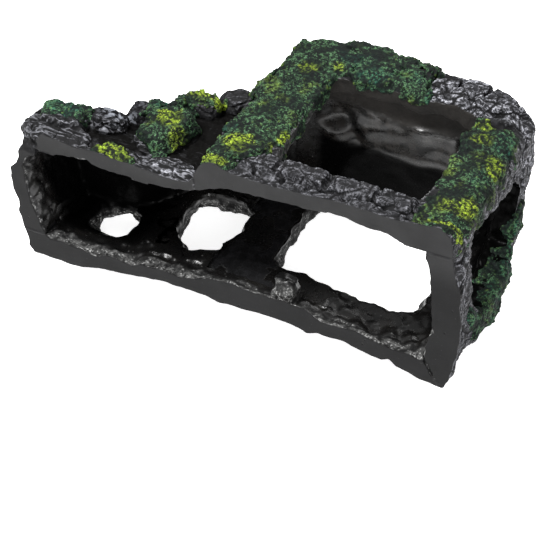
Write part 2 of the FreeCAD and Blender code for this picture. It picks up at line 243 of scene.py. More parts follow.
BOULDERS = {
    "foot_boulder": (.078, .066, .066, .042, -6, .3715),
    "white_boulder": (.172, .108, .054, .036, 14, .370),
    "ridge_boulder": (.230, .158, .044, .042, 20, .372),
    "middle_boulder": (.300, .122, .060, .080, -14, .3755),
    "upper_boulder": (.327, .237, .048, .033, -4, .3745),
    "top_boulder": (.392, .292, .040, .050, -20, .371),
}
BRICKS = [(.482, .585, .044, .093), (.592, .694, .043, .091), (.706, .802, .039, .088), (.810, .880, .040, .088)]
ROW2 = [(.50, .548, .006, .036), (.556, .615, .006, .038), (.622, .668, .004, .033), (.675, .745, .006, .034), (.765, .83, .006, .034), (.838, .878, .008, .034)]
CORNER = {"corner_stone_1": [(.772, .425), (.812, .415), (.862, .422), (.852, .468), (.838, .488), (.775, .470)],
          "corner_stone_2": [(.874, .424), (.92, .434), (.955, .447), (.962, .464), (.900, .466), (.866, .462)],
          "corner_stone_3": [(.885, .400), (.925, .412), (.972, .424), (.978, .404), (.958, .392), (.900, .388)]}
COPING_JOINTS = [.765, .822, .887, .965]


def rbox(px, py, b, r):
    cx, cy = (b[0] + b[1]) / 2, (b[2] + b[3]) / 2
    qx, qy = np.abs(px - cx) - (b[1] - b[0]) / 2 + r, np.abs(py - cy) - (b[3] - b[2]) / 2 + r
    return np.sqrt(np.maximum(qx, 0) ** 2 + np.maximum(qy, 0) ** 2) + np.minimum(np.maximum(qx, qy), 0) - r


def top_height(px, py):
    """Height of the upper side over the plan, all in shares of the base length."""
    left = .334 + .010 * sstep(.05, 0, py)
    # layered rock between the ring edge and the foot boulder
    left = np.maximum(left, plateau(px, py, .095, .030, .085, .036, -3, .356, .03, .7))
    left = np.maximum(left, plateau(px, py, .245, .018, .055, .030, 0, .352, .03, .6))
    left = np.maximum(left, plateau(px, py, .365, .022, .065, .040, 0, .348, .03, .7))
    left = np.maximum(left, .340 + .012 * sstep(.10, .16, py) * sstep(.15, .05, px))
    left = np.maximum(left, plateau(px, py, .022, .046, .045, .036, 0, .353, .03, .7))
    ridge = np.interp(px.ravel(), [0, .05, .13, .20, .28, .35, .42], [.074, .086, .112, .168, .236, .292, .345]).reshape(px.shape)
    left = np.maximum(left, .363 - .9 * np.clip(np.abs(py - ridge) - .008, 0, 1))
    left = np.maximum(left, plateau(px, py, .268, .208, .040, .034, 20, .3705, .03, .6))
    for b in BOULDERS.values():
        left = np.maximum(left, plateau(px, py, *b, .048))
    left = np.maximum(left, plateau(px, py, .425, .345, .030, .055, 0, .372))
    # platform side
    deck = .3925 + .006 * np.exp(-((px - .485) / .045) ** 2)
    front = sstep(.100, .085, py) * sstep(.47, .50, px) * sstep(.900, .885, px)
    deck = deck - front * .006
    for b in BRICKS:
        deck = np.maximum(deck, .4035 - np.clip(rbox(px, py, b, .006) + .004, 0, 1) * 1.6)
    for b in ROW2:
        deck = np.maximum(deck, .398 - np.clip(rbox(px, py, b, .006) + .004, 0, 1) * 1.3)
    stones = sstep(.755, .765, px) * sstep(.395, .405, py)
    deck = deck - stones * .004
    for pts in CORNER.values():
        d = sd_poly(px * S, py * S, pts) / S
        deck = np.maximum(deck, .404 - np.clip(d + .005, 0, 1) * 1.3 + .002 * np.sin(px * 160))
    cop = .402 - np.clip(.470 - py, 0, 1) * 1.4
    for j in COPING_JOINTS:
        cop = cop - .012 * np.exp(-((px - j - (py - .5) * .2) / .0035) ** 2)
    cop = cop - .030 * sstep(.515, .55, py)
    deck = np.maximum(deck, np.where(px > .752, cop, -1))
    rise = .012 * sstep(.40, .46, py) * sstep(.775, .60, px) * sstep(.45, .52, px)
    deck = deck + rise
    deck = deck - .018 * sstep(.955, 1.0, px)
    w = sstep(.4245, .4400, px + .004 * np.sin(py * 60) - .012 * sstep(.10, 0, py))
    h = left * (1 - w) + deck * w
    # the ring edge itself
    ring = np.interp(px.ravel(), *ZR).reshape(px.shape)
    k = sstep(.030, .002, py)
    h = h * (1 - k) + ring * k
    # split-off corner at the foot end
    h = h - .012 * plateau(px, py, .015, .0, .05, .02, 0, 1, 1.0, .2).clip(0, 1)
    return h


def casting(g):
    """Two fields over a grid: the rock mass without its hollow, and the hollow with all its openings."""
    x, y, z = g.x / S, g.y / S, g.z / S
    X, Y, Z = g.X, g.Y, g.Z
    n7 = lat(g, 8.0, 1)
    n3 = lat(g, 3.4, 2)
    n2 = lat(g, 2.1, 13)
    strata = lat(g, (34, 30, 2.6), 3)
    rough = (n7 * 1.1 + n3 * .42 + n2 * .30).astype(f4)
    # top
    PX, PY = np.meshgrid(x, y, indexing="ij")
    h = top_height(PX, np.clip(PY, 0, 1)) * S
    gx, gy = np.gradient(h, g.x, g.y)
    nf = 1 / np.sqrt(1 + np.clip(gx * gx + gy * gy, 0, 12))
    top = ((Z - h[:, :, None]) * nf[:, :, None]).astype(f4)
    top_rough = n7 * .55 + n3 * .40 + n2 * .25
    top = top - top_rough * (.25 + .75 * sstep(0, 5, Y))
    # left and right
    xl = (np.interp(z, *XL)[None, :] + .05 * np.clip(y, 0, 1)[:, None] - (.020 * sstep(.012, .035, y))[:, None] * sstep(.27, .33, z)[None, :]) * S
    left = (xl[None] - X).astype(f4)
    xr0 = np.interp(z, *XR)[None, :] * np.ones((len(y), 1))
    yy = np.clip(y, 0, .6)[:, None] * np.ones((1, len(z)))
    zz = z[None, :] * np.ones((len(y), 1))
    xr1 = np.interp(z, [0, .02, .06, .10, .16, .3, .36, .39, .405, .42], [1.000, 1.004, 1.006, 1.003, 1.001, 1.000, .999, .990, .975, .95])[None, :] + 0 * yy
    xr1 = xr1 + .017 * sstep(.10, .16, yy) * sstep(.385, .32, yy) * sstep(.125, .08, zz) * sstep(-.02, .02, zz)
    back_in = np.interp(zz.ravel(), [0, .046, .113, .2, .234, .343, .39], [.425, .450, .482, .492, .500, .485, .46]).reshape(zz.shape)
    xr1 = xr1 - 1.1 * np.clip(yy - back_in, 0, .1)
    # bonded split stones beside the doorway
    for (a, b, c, d, up) in ((.012, .060, .215, .330, .008), (.008, .055, .075, .205, .010), (.415, .47, .08, .20, .004), (.42, .478, .21, .30, .004), (.40, .465, .31, .368, .005)):
        q = rbox(yy, zz, (a, b, c, d), .012)
        xr1 = np.maximum(xr1, xr1 + up * sstep(.006, -.004, q))
    w = sstep(.0, .035, yy)
    xr = (xr0 * (1 - w) + xr1 * w) * S
    right = (X - xr[None]).astype(f4)
    # bottom
    zb0 = np.interp(x, *ZB)[:, None] + 0 * PY
    mid = sstep(.03, .10, PX) * sstep(.99, .92, PX)
    zb1 = mid * (.014 + .007 * np.sin(PX * 31 + PY * 17) * np.cos(PY * 23 + 1) + .004 * np.sin(PX * 77 + 3))
    w = sstep(.01, .09, PY)
    zb = (zb0 * (1 - w) + zb1 * w) * S
    bottom = (zb[:, :, None] - Z).astype(f4)
    # stairs and platform, seen as a stepped back edge
    T = np.asarray(TREAD)
    E = np.asarray(LEDGE)
    back = None
    for i in range(6):
        yi = np.interp(z, [0, .045, .06, .25, .34, .37], [T[i] + .012, T[i] + .012, T[i], T[i], E[i] + .004, E[i] - .016]) * S
        xi = np.interp(z, [.25, .37], [STEP_X[i], STEP_XT[i]]) * S if i else np.full(len(z), -60.0)
        part = np.maximum((xi[None, None, :] - X) * 1.0, (Y - yi[None, None, :]) * .82)
        back = part if back is None else np.minimum(back, part)
    yb = np.interp(x, *YB) * S
    lipz = sstep(.30, .335, z) + .55 * sstep(.06, .03, z)
    yp = (.500 * S - 1.5) * (1 - lipz[None, :]) + yb[:, None] * lipz[None, :]
    xi = np.interp(z, [.25, .37], [STEP_X[6], STEP_XT[6]]) * S
    part = np.maximum(xi[None, None, :] - X, Y - yp[:, None, :])
    back = smin(back, part, 1.2)
    back = back - n7 * 1.3 - n3 * .55 - lat(g, 17.0, 14) * 1.3
    sides = smax(left - rough - strata * .7, right - rough * .8 - lat(g, (30, 3.2, 24), 4) * .5 * sstep(0, 4, Y), 1.5)
    out = smax(sides, bottom - rough * .6, 1.2)
    out = smax(out, back, 2.2)
    out = smax(out, top, 1.8)
    chip = sstep(.068 * S, .044 * S, X) * sstep(.284 * S, .300 * S, Z)
    out = np.maximum(out, (2.0 + n3 * 1.3 + n2 * .9) * chip - .5 - Y)
    out = out - strata * .42 * sstep(.10 * S, .02 * S, Y) * sstep(.45 * S, .40 * S, X) * sstep(1, 4, Y)

    # hollow
    QX, QZ = np.meshgrid(g.x, g.z, indexing="ij")
    a = sd_poly(QX, QZ, IN_FLAT)[:, None, :].astype(f4)
    b = sd_poly(QX, QZ, IN_DEEP)[:, None, :].astype(f4)
    w = sstep(0.0, .032 * S, Y)
    lump = (lat(g, 15.0, 6) * 1.3 + lat(g, 7.0, 7) * .65).astype(f4)
    lipn = (n3 * .75 + lat(g, 5.0, 8) * .8).astype(f4)
    cav = a * (1 - w) + b * w
    band = sstep(0, 2.0, Y) * sstep(.075 * S, .04 * S, Y)
    cav = cav + lipn * band + lump * sstep(.03 * S, .08 * S, Y) + n2 * .42 + n3 * .30
    # rough foot of the mullion on the ring
    q = (((X - .622 * S) / 6.8) ** 4 + ((Y - .036 * S) / 6.6) ** 4 + ((Z - .092 * S) / 9.0) ** 4) ** .25
    cav = np.maximum(cav, (1 - q) * 6.0 + n3 * 1.0 + n2 * .7 - .3)
    slot = d_line(QX, QZ, [(.951, .062), (.974, .025)])[:, None, :].astype(f4)
    cav = np.minimum(cav, np.maximum(slot - .95, Y - 3.5))
    yi = np.interp(x, *YIN)[:, None]
    yt = np.interp(x, *YINTOP)[:, None] + (.305 - z)[None, :] * 1.0
    ylim = np.minimum(yi, yt) * S
    relief = lat(g, (17, 17, 10), 11) * 3.2 + lat(g, (8, 8, 5.5), 12) * 2.0
    in_deck = sstep(.50 * S, .54 * S, X) * sstep(.322 * S, .302 * S, Z) * (.12 + .88 * sstep(.190 * S, .225 * S, Z))
    rear = (Y - ylim[:, None, :]).astype(f4) + relief.astype(f4) * in_deck + lump * .5
    cav = smax(cav, rear, 3.0)
    # windows in the lower wall
    PXm, PYm = np.meshgrid(g.x, g.y, indexing="ij")
    jag = (n3 * .80 + lat(g, 5.5, 9) * .85 + n2 * .55).astype(f4)
    tz = sstep(.022 * S, .066 * S, Z)
    for t, bt in ((W_SMALL_T, W_SMALL_B), (W_MED_T, W_MED_B), (W_LARGE_T, W_LARGE_B)):
        dt = sd_poly(PXm, PYm, t)[:, :, None].astype(f4)
        db = sd_poly(PXm, PYm, bt)[:, :, None].astype(f4)
        win = db * (1 - tz) + dt * tz + jag
        cav = smin(cav, np.maximum(win, Z - .13 * S), 1.6)
    # window in the platform side, doorway in the end wall
    win = sd_poly(PXm, PYm, W_DECK)[:, :, None].astype(f4) + (n3 * .4 + lat(g, 6.0, 10) * .5).astype(f4)
    cav = smin(cav, np.maximum(win, .30 * S - Z), 1.8)
    RY, RZ = np.meshgrid(g.y, g.z, indexing="ij")
    door = sd_poly(RY, RZ, DOOR)[None].astype(f4) + jag * .9
    cav = smin(cav, np.maximum(door, .92 * S - X), 2.0)
    return out.astype(f4), cav.astype(f4)


# ------------------------------------------------------------------ surface extraction
CORNERS = [(0, 0, 0), (1, 0, 0), (0, 1, 0), (1, 1, 0), (0, 0, 1), (1, 0, 1), (0, 1, 1), (1, 1, 1)]
EDGES = [(0, 1), (2, 3), (4, 5), (6, 7), (0, 2), (1, 3), (4, 6), (5, 7), (0, 4), (1, 5), (2, 6), (3, 7)]


def nets(F, g):
    F = F.copy()
    for a in range(3):
        sl = [slice(None)] * 3
        for e in (0, -1):
            sl[a] = e
            F[tuple(sl)] = np.maximum(F[tuple(sl)], .5)
    inside = F < 0
    cnt = np.zeros(tuple(n - 1 for n in F.shape), np.int8)
    for c in CORNERS:
        cnt += inside[c[0]:F.shape[0] - 1 + c[0], c[1]:F.shape[1] - 1 + c[1], c[2]:F.shape[2] - 1 + c[2]]
    act = (cnt > 0) & (cnt < 8)
    cells = np.argwhere(act)
    idx = np.full(act.shape, -1, np.int64)
    idx[act] = np.arange(len(cells))
    fv = [F[cells[:, 0] + c[0], cells[:, 1] + c[1], cells[:, 2] + c[2]].astype(float) for c in CORNERS]
    acc = np.zeros((len(cells), 3))
    n = np.zeros(len(cells))
    C = np.array(CORNERS, float)
    for a, b in EDGES:
        m = (fv[a] < 0) != (fv[b] < 0)
        t = np.where(m, fv[a] / np.where(m, fv[a] - fv[b], 1), 0)
        acc += m[:, None] * (C[a] + t[:, None] * (C[b] - C[a]))
        n += m
    V = (cells + acc / n[:, None]) * g.h + np.array([g.x[0], g.y[0], g.z[0]])
    quads = []
    for ax in range(3):
        o1, o2 = [k for k in range(3) if k != ax]
        s0 = [slice(1, -1)] * 3
        s0[ax] = slice(0, -1)
        s1 = [slice(1, -1)] * 3
        s1[ax] = slice(1, None)
        a, b = inside[tuple(s0)], inside[tuple(s1)]
        e = np.argwhere(a != b)
        flip = a[e[:, 0], e[:, 1], e[:, 2]]
        base = e + 1
        base[:, ax] -= 1

        def at(d1, d2):
            q = base.copy()
            q[:, o1] += d1
            q[:, o2] += d2
            return idx[q[:, 0], q[:, 1], q[:, 2]]
        q = np.stack([at(-1, -1), at(0, -1), at(0, 0), at(-1, 0)], 1)
        if ax == 1:
            flip = ~flip
        q[~flip] = q[~flip][:, ::-1]
        quads.append(q)
    return V, np.concatenate(quads)


def sample(F, g, P):
    q = np.stack([(P[:, 0] - g.x[0]) / g.h, (P[:, 1] - g.y[0]) / g.h, (P[:, 2] - g.z[0]) / g.h], 1)
    for k in range(3):
        q[:, k] = np.clip(q[:, k], 0, F.shape[k] - 1.001)
    i = q.astype(int)
    f = q - i
    out = 0
    for c in CORNERS:
        w = 1
        for k in range(3):
            w = w * (f[:, k] if c[k] else 1 - f[:, k])
        out = out + w * F[i[:, 0] + c[0], i[:, 1] + c[1], i[:, 2] + c[2]]
    return out


def grad(fn, P, e):
    G = np.zeros_like(P)
    for k in range(3):
        d = np.zeros(3)
        d[k] = e
        G[:, k] = (fn(P + d) - fn(P - d)) / (2 * e)
    return G


def to_zero(fn, P, e, cap):
    v = fn(P)
    G = grad(fn, P, e)
    st = (v / np.maximum((G * G).sum(1), .05))[:, None] * G
    ln = np.linalg.norm(st, axis=1, keepdims=True)
    return P - st * np.minimum(1, cap / np.maximum(ln, 1e-9))


def keep_manifold(V, Q):
    """Drop loose crumbs: keep only the connected parts that have a fair share of the faces."""
    n = len(V)
    lab = np.arange(n)
    E = np.concatenate([Q[:, [0, 1]], Q[:, [1, 2]], Q[:, [2, 3]], Q[:, [3, 0]]])
    for _ in range(400):
        m = np.minimum(lab[E[:, 0]], lab[E[:, 1]])
        new = lab.copy()
        np.minimum.at(new, E[:, 0], m)
        np.minimum.at(new, E[:, 1], m)
        new = new[new]
        if (new == lab).all():
            break
        lab = new
    cnt = np.bincount(lab, minlength=n)
    big = cnt[lab] >= max(60, .02 * cnt.max())
    keepf = big[Q[:, 0]]
    Q = Q[keepf]
    used = np.zeros(n, bool)
    used[Q.ravel()] = True
    remap = np.cumsum(used) - 1
    return V[used], remap[Q], used


def normals(V, Q):
    a, b, c, d = (V[Q[:, k]] for k in range(4))
    N = np.cross(c - a, d - b)
    out = np.zeros_like(V)
    for k in range(4):
        for j in range(3):
            out[:, j] += np.bincount(Q[:, k], N[:, j], len(V))
    return out / np.maximum(np.linalg.norm(out, axis=1, keepdims=True), 1e-12)


def spread(val, Q, n, times):
    E = np.concatenate([Q[:, [0, 1]], Q[:, [1, 2]], Q[:, [2, 3]], Q[:, [3, 0]]])
    deg = np.bincount(E[:, 0], minlength=n) + np.bincount(E[:, 1], minlength=n)
    for _ in range(times):
        s = np.bincount(E[:, 0], val[E[:, 1]], n) + np.bincount(E[:, 1], val[E[:, 0]], n)
        val = .5 * val + .5 * s / np.maximum(deg, 1)
    return val


def convexity(V, N, Q, times):
    """How far each point stands proud of its surroundings, in mm: positive on ridges."""
    sm = np.stack([spread(V[:, k].copy(), Q, len(V), times) for k in range(3)], 1)
    return ((V - sm) * N).sum(1)


MATS = {}
STATS = []


def make_object(name, V, Q, attrs, mat, nodes, sharp=48, flat=None):
    me = bpy.data.meshes.new(name)
    co = V.copy()
    co[:, 0] -= CX
    co[:, 1] -= CY
    co = (co / 1000.0).astype(f4)
    me.vertices.add(len(co))
    me.vertices.foreach_set("co", co.ravel())
    me.loops.add(len(Q) * 4)
    me.loops.foreach_set("vertex_index", Q.ravel().astype(np.int32))
    me.polygons.add(len(Q))
    me.polygons.foreach_set("loop_start", (np.arange(len(Q)) * 4).astype(np.int32))
    me.polygons.foreach_set("loop_total", np.full(len(Q), 4, np.int32))
    me.update(calc_edges=True)
    me.validate()
    for k, v in attrs.items():
        at = me.attributes.new(k, "FLOAT", "POINT")
        at.data.foreach_set("value", np.clip(v, 0, 1).astype(f4))
    smooth = np.ones(len(me.polygons), bool)
    if flat is not None and len(flat) == len(smooth):
        smooth = ~flat
    me.polygons.foreach_set("use_smooth", smooth)
    if sharp:
        me.set_sharp_from_angle(angle=math.radians(sharp))
    me.materials.append(mat)
    ob = bpy.data.objects.new(name, me)
    bpy.context.scene.collection.objects.link(ob)
    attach(ob, "root")
    if nodes:
        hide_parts(*nodes)
    STATS.append((name, len(V), len(Q) * 2))
    return ob


# ------------------------------------------------------------------ regions
def c_ground(X, Y, Z):
    return -Y + 0 * X + 0 * Z


def seam_lr(X, Y, Z):
    """negative on the end-wall side of the slanting seam at the lower right corner of the ring"""
    return -((X - .95 * S) * .81 + (Z - .058 * S) * .585) + 0 * Y


def x_cut(Y):
    return np.where(Y > .37 * S, .422 * S, .43 * S)


def region(kind):
    def lower(X, Y, Z):
        return np.maximum(Z - .0672 * S, -seam_lr(X, Y, Z)) + 0 * Y

    def lower2(X, Y, Z):
        # the wall carries the thick ring lip as well
        lip = np.maximum(np.maximum(Y - .055 * S, Z - .17 * S), np.maximum(.06 * S - X, X - .93 * S))
        return np.maximum(np.minimum(Z - .0672 * S + 0 * Y, lip), -seam_lr(X, Y, Z))
    if kind == "lower":
        return lower2
    if kind == "left":
        return lambda X, Y, Z: np.maximum(np.maximum(X - .04 * S, Z - .3045 * S), -(Z - .0672 * S)) + 0 * Y
    if kind == "right":
        def f(X, Y, Z):
            lip = -lower2(X, Y, Z)
            return np.maximum(np.maximum(seam_lr(X, Y, Z), Z - .3485 * S), np.maximum(.935 * S - X, lip))
        return f
    if kind.startswith("step"):
        i = int(kind[4:]) - 1
        # the cuts stand a little before the risers, so that each riser's face stays whole
        a, b = (STEP_X[i] - (.008 if i else 0)) * S, (STEP_X[i + 1] - .008) * S
        return lambda X, Y, Z: np.maximum(np.maximum(a - X, X - b), np.maximum(.0672 * S - Z, Z - .3045 * S)) + 0 * Y
    if kind == "panel":
        return lambda X, Y, Z: np.maximum(np.maximum(.3045 * S - Z, X - x_cut(Y)), -boulder_zone(X, Y, Z))
    if kind == "deck":
        def f(X, Y, Z):
            body = np.maximum(.3485 * S - Z, x_cut(Y) - X)
            skirt = np.maximum(np.maximum(x_cut(Y) - X, X - .50 * S), .3045 * S - Z)
            return np.maximum(np.minimum(body, skirt), Y - .4975 * S)
        return f
    if kind == "coping":
        return lambda X, Y, Z: np.maximum(np.maximum(.4975 * S - Y, .300 * S - Z), .422 * S - X)
    if kind == "platform":
        def f(X, Y, Z):
            a = np.maximum(np.maximum(.0672 * S - Z, .422 * S - X), np.maximum(X - .935 * S, .36 * S - Y))
            hi = np.where(X > .50 * S, Z - .3485 * S, Z - .3045 * S)
            cop = -np.maximum(.4975 * S - Y, .300 * S - Z)
            return np.maximum(np.maximum(a, hi), cop)
        return f
    raise KeyError(kind)


def one_boulder(name, X, Y, Z):
    cx, cy, rx, ry, rot, top = BOULDERS[name]
    c, s = math.cos(math.radians(rot)), math.sin(math.radians(rot))
    a = ((X / S - cx) * c + (Y / S - cy) * s) / (rx * 1.06)
    b = (-(X / S - cx) * s + (Y / S - cy) * c) / (ry * 1.06)
    r = (np.abs(a) ** 2.6 + np.abs(b) ** 2.6) ** (1 / 2.6)
    return np.maximum((r - 1) * min(rx, ry) * S, .3385 * S - Z)


def boulder_zone(X, Y, Z):
    out = None
    for n in BOULDERS:
        d = one_boulder(n, X, Y, Z)
        out = d if out is None else np.minimum(out, d)
    return out


def boulder_region(name):
    """Each boulder keeps clear of the ones listed before it."""
    names = list(BOULDERS)
    k = names.index(name)

    def f(X, Y, Z):
        d = one_boulder(name, X, Y, Z)
        for other in names[:k]:
            d = np.maximum(d, -one_boulder(other, X, Y, Z))
        return d
    return f


# ------------------------------------------------------------------ rock pieces
def rock_piece(name, lo, hi, h, kind, nodes, extra_cut=None):
    g = Grid(lo, hi, h)
    out, cav = casting(g)
    A = np.maximum(out, -cav)
    reg = region(kind) if isinstance(kind, str) else kind
    cuts = [c_ground, reg]
    if extra_cut:
        cuts.append(extra_cut)
    F = A
    for c in cuts:
        F = np.maximum(F, c(g.X, g.Y, g.Z))
    V, Q = nets(F, g)
    V, Q, used = keep_manifold(V, Q)
    fA = lambda P: sample(A, g, P)
    cutv = [(lambda P, c=c: c(P[:, 0], P[:, 1], P[:, 2])) for c in cuts]
    for it in range(3):
        P = V[(np.abs(cutv[0](V)) < .9 * h) & (np.abs(cutv[1](V)) < .9 * h)]
        if len(P):
            k = np.where((np.abs(cutv[0](V)) < .9 * h) & (np.abs(cutv[1](V)) < .9 * h))[0]
            P = to_zero(cutv[1], P, .2 * h, .9 * h)
            P = to_zero(cutv[0], P, .2 * h, .9 * h)
            V[k] = P
        for c in cutv:
            near = (np.abs(c(V)) < .8 * h) & (np.abs(fA(V)) < .8 * h)
            k = np.where(near)[0]
            if len(k):
                P = V[k]
                P = to_zero(fA, P, .5 * h, .5 * h)
                P = to_zero(c, P, .2 * h, .6 * h)
                V[k] = P
        if it == 0:
            # settle the free surface on the field
            free = np.ones(len(V), bool)
            for c in cutv:
                free &= c(V) < -.9 * h
            k = np.where(free)[0]
            V[k] = to_zero(fA, V[k], .5 * h, .3 * h)
    # the flat front runs straight through the cuts
    V[(np.abs(cutv[1](V)) < h) & (V[:, 1] < .75 * h) & (fA(V) < -.2 * h), 1] = 0.0
    N = normals(V, Q)
    vo, vc = sample(out, g, V), sample(cav, g, V)
    ground = (np.abs(V[:, 1]) < .05 * h).astype(float)
    V[ground > 0, 1] = 0.0
    inner = (-vc > vo - .3) * (vc < 1.4) * (1 - ground)
    edge = np.ones(len(V))
    for c in cutv:
        edge *= sstep(.0, 1.6, -c(V))
    low = sstep(.15 * S, .11 * S, V[:, 2]) * sstep(.04 * S, .07 * S, V[:, 0])
    lefty = sstep(.06 * S, .04 * S, V[:, 0])
    lipd = (.013 - .006 * lefty + .022 * low + (.004 + .006 * low) * vn(V, 9.0, 5) + .005 * vn(V, 3.5, 6)) * S
    deep = sstep(-1.2, 1.2, V[:, 1] - lipd)
    zf = np.interp(V[:, 0] / S, [.05, .1, .2, .3, .4, .5, .6, .7, .8, .95], [.053, .053, .058, .066, .070, .075, .075, .067, .06, .06]) * S
    jamb = sstep(2.2, 4.5, zf - V[:, 2])
    upper = sstep(.335 * S, .36 * S, V[:, 2]) * (V[:, 1] > .05 * S)
    doorj = sstep(.955 * S, .975 * S, V[:, 0])
    seen = sstep(.50 * S, .53 * S, V[:, 0]) * sstep(.955 * S, .945 * S, V[:, 0]) * sstep(.36 * S, .39 * S, V[:, 1])
    edge_z = (.304 + .012 * vn(V, 14.0, 43) + .006 * vn(V, 6.0, 44)) * S
    band = inner * seen * sstep(-1.0, 1.5, V[:, 2] - edge_z)
    relief = inner * seen * (1 - band) * sstep(.200 * S, .214 * S, V[:, 2] + 2.2 * vn(V, 12.0, 45))
    gloss = inner * deep * (1 - jamb) * (1 - upper * .8) * (1 - band)
    # painted shade: the left chamber, the deep part of the deck's hollow and the inside by the doorway are made near
    # black and low in sheen
    interior_shade = sstep(.27 * S, .22 * S, V[:, 0]) * sstep(.05 * S, .08 * S, V[:, 1])
    interior_shade = np.maximum(interior_shade, inner * seen * (1 - band) * (1 - relief))
    interior_shade = np.maximum(interior_shade, inner * sstep(.925 * S, .945 * S, V[:, 0]) * sstep(.06 * S, .09 * S, V[:, 1]))
    # fine relief
    up = sstep(.35, .8, N[:, 2])
    rockm = (1 - ground) * (1 - gloss) * edge
    pitz = (V[:, 2] < .3465 * S) * (V[:, 2] > .32 * S) * (V[:, 1] > .045 * S) * (V[:, 0] < .44 * S)
    fine = vn(V, 2.6, 21) * .26 + vn(V, 1.3, 22) * .16
    f1, f2, val = worley(V + 2.5 * np.stack([vn(V, 9, 31), vn(V, 9, 32), vn(V, 9, 33)], 1), (11.0, 9.0, 9.0), 5)
    crack = sstep(.14, .0, f2 - f1)
    fine = fine - crack * .75 * (1 - inner)
    fine = fine + pitz * (vn(V, 4.5, 34) * .9 + vn(V, 2.2, 35) * .5)
    V = V + N * (fine * rockm)[:, None]
    zone = (V[:, 0] < .44 * S) * (V[:, 1] < .10 * S) * sstep(.315 * S, .33 * S, V[:, 2])
    tilt = V.copy()
    tilt[:, 1] += .14 * V[:, 0]
    streak = vn(tilt, (22.0, 2.3, 60.0), 23) + .5 * vn(tilt, (14.0, 1.5, 60.0), 24)
    endz = sstep(.97 * S, .985 * S, V[:, 0]) * (1 - inner)
    streak2 = vn(V, (60.0, 2.6, 20.0), 25) + .5 * vn(V, (60.0, 1.6, 12.0), 26)
    V = V + N * ((streak * .62 * zone + streak2 * .42 * endz) * rockm)[:, None]
    wet = vn(V, 5.5, 41) * .18 + vn(V, 3.0, 42) * .10
    V = V + N * (wet * gloss * edge)[:, None]
    V[:, 2] = np.maximum(V[:, 2], 0.0)
    V[:, 1] = np.maximum(V[:, 1], 0.0)
    N = normals(V, Q)
    cv = convexity(V, N, Q, 5)
    dry = sstep(.05, .38, cv) * (1 - ground)
    rim = inner * sstep(6.5, .5, V[:, 1]) * (1 - ground) * sstep(-.35, .35, vn(V, 2.4, 27) + .5 * vn(V, 6.0, 28))
    jb = inner * jamb * sstep(0, .5, vn(V, 2.2, 29) + .5 * vn(V, 5.0, 30)) * .8
    dry = np.maximum(dry, np.maximum(rim, jb))
    # painted shade: creases and hollows of the rock are darkened; the stone joints below join this mask
    crease_shade_and_joints = sstep(.05, .45, -cv) * (1 - ground)
    stone = np.zeros(len(V))
    px, py = V[:, 0] / S, V[:, 1] / S
    top = (V[:, 2] > .375 * S) & (px > .44)
    stone = np.maximum(stone, .45 * top * sstep(.105, .095, py) * sstep(.47, .50, px))
    stone = np.maximum(stone, sstep(.74, .77, px) * sstep(.39, .42, py) * (V[:, 2] > .26 * S))
    stone = np.maximum(stone, .62 * sstep(.985, .992, px) * (1 - inner))
    stone = np.maximum(stone, .45 * np.exp(-(((px - .35) / .075) ** 2 + ((py - .022) / .035) ** 2) ** 2) * (V[:, 2] > .33 * S))
    stone = stone * (1 - inner)
    # each stone has a dark joint round it and a pale worn edge beside the joint
    gap = f2 - f1
    dry = np.maximum(dry, .9 * np.minimum(1.4 * stone, 1) * sstep(.34, .22, gap) * sstep(.10, .17, gap) * sstep(-.7, .1, vn(V, 6.0, 36)))
    crease_shade_and_joints = np.maximum(crease_shade_and_joints, np.minimum(1.6 * stone, 1) * sstep(.12, .05, gap))
    # no worn edge along a line where two pieces are bonded
    for c in cutv[1:]:
        dry = dry * sstep(.3, 1.9, -c(V))
    light = np.zeros(len(V))
    light = np.maximum(light, np.exp(-(((px - .19) / .040) ** 2 + ((py - .115) / .022) ** 2) ** 1.5) * (V[:, 2] > .35 * S))
    light = np.maximum(light, .22 * np.exp(-(((px - .215) / .02) ** 2 + ((py - .17) / .022) ** 2)) * (V[:, 2] > .355 * S))
    # painted shade: the sunken floor between the boulders on the stair side is darkened and given less sheen
    recess_shade = ((V[:, 2] < .3465 * S) & (V[:, 2] > .32 * S) & (py > .045) & (px < .44) & (N[:, 2] > -.2)).astype(float)
    recess_shade = spread(recess_shade, Q, len(V), 2)
    attrs = {"ground": spread(ground, Q, len(V), 0), "gloss": gloss, "dry": dry, "crease_shade_and_joints": crease_shade_and_joints, "stone": stone, "light": light, "recess_shade": recess_shade,
             "lip": inner * (1 - gloss), "band": band, "relief": relief, "interior_shade": interior_shade, "strata": np.clip(zone, 0, 1)}
    return make_object(name, V, Q, attrs, MATS["rock"], nodes, flat=ground[Q].min(1) > 0)


# ------------------------------------------------------------------ moss pieces
BRIGHT = [  # x, y, radius x, radius y, strength, on the upper side
    (.490, .092, .036, .034, .9), (.470, .018, .030, .017, 1.0), (.560, .156, .014, .022, .7), (.553, .108, .016, .018, .5),
    (.500, .401, .020, .020, .6), (.561, .435, .016, .016, .5), (.919, .378, .026, .016, 1.0), (.927, .328, .022, .018, .6),
    (.978, .256, .018, .036, .8), (.974, .100, .024, .034, .85), (.937, .086, .020, .022, .5), (.955, .030, .050, .012, .9),
    (.235, .014, .046, .022, 1.0), (.303, .130, .030, .032, 1.0), (.340, .090, .018, .030, .5), (.322, .244, .026, .020, 1.0), (.362, .243, .018, .018, .9),
    (.905, .20, .018, .03, .35), (.46, .30, .02, .03, .3), (.53, .33, .018, .03, .3)]
TEAL = [(.643, .440, .040, .030, 1.0), (.782, .419, .015, .015, .9), (.975, .333, .024, .034, 1.0), (.075, .075, .05, .03, .9), (.94, .055, .03, .02, .6),
        (.965, .20, .02, .03, .5), (.59, .47, .05, .03, .5), (.70, .47, .05, .03, .6), (.45, .12, .015, .03, .5), (.26, .18, .02, .02, .6)]


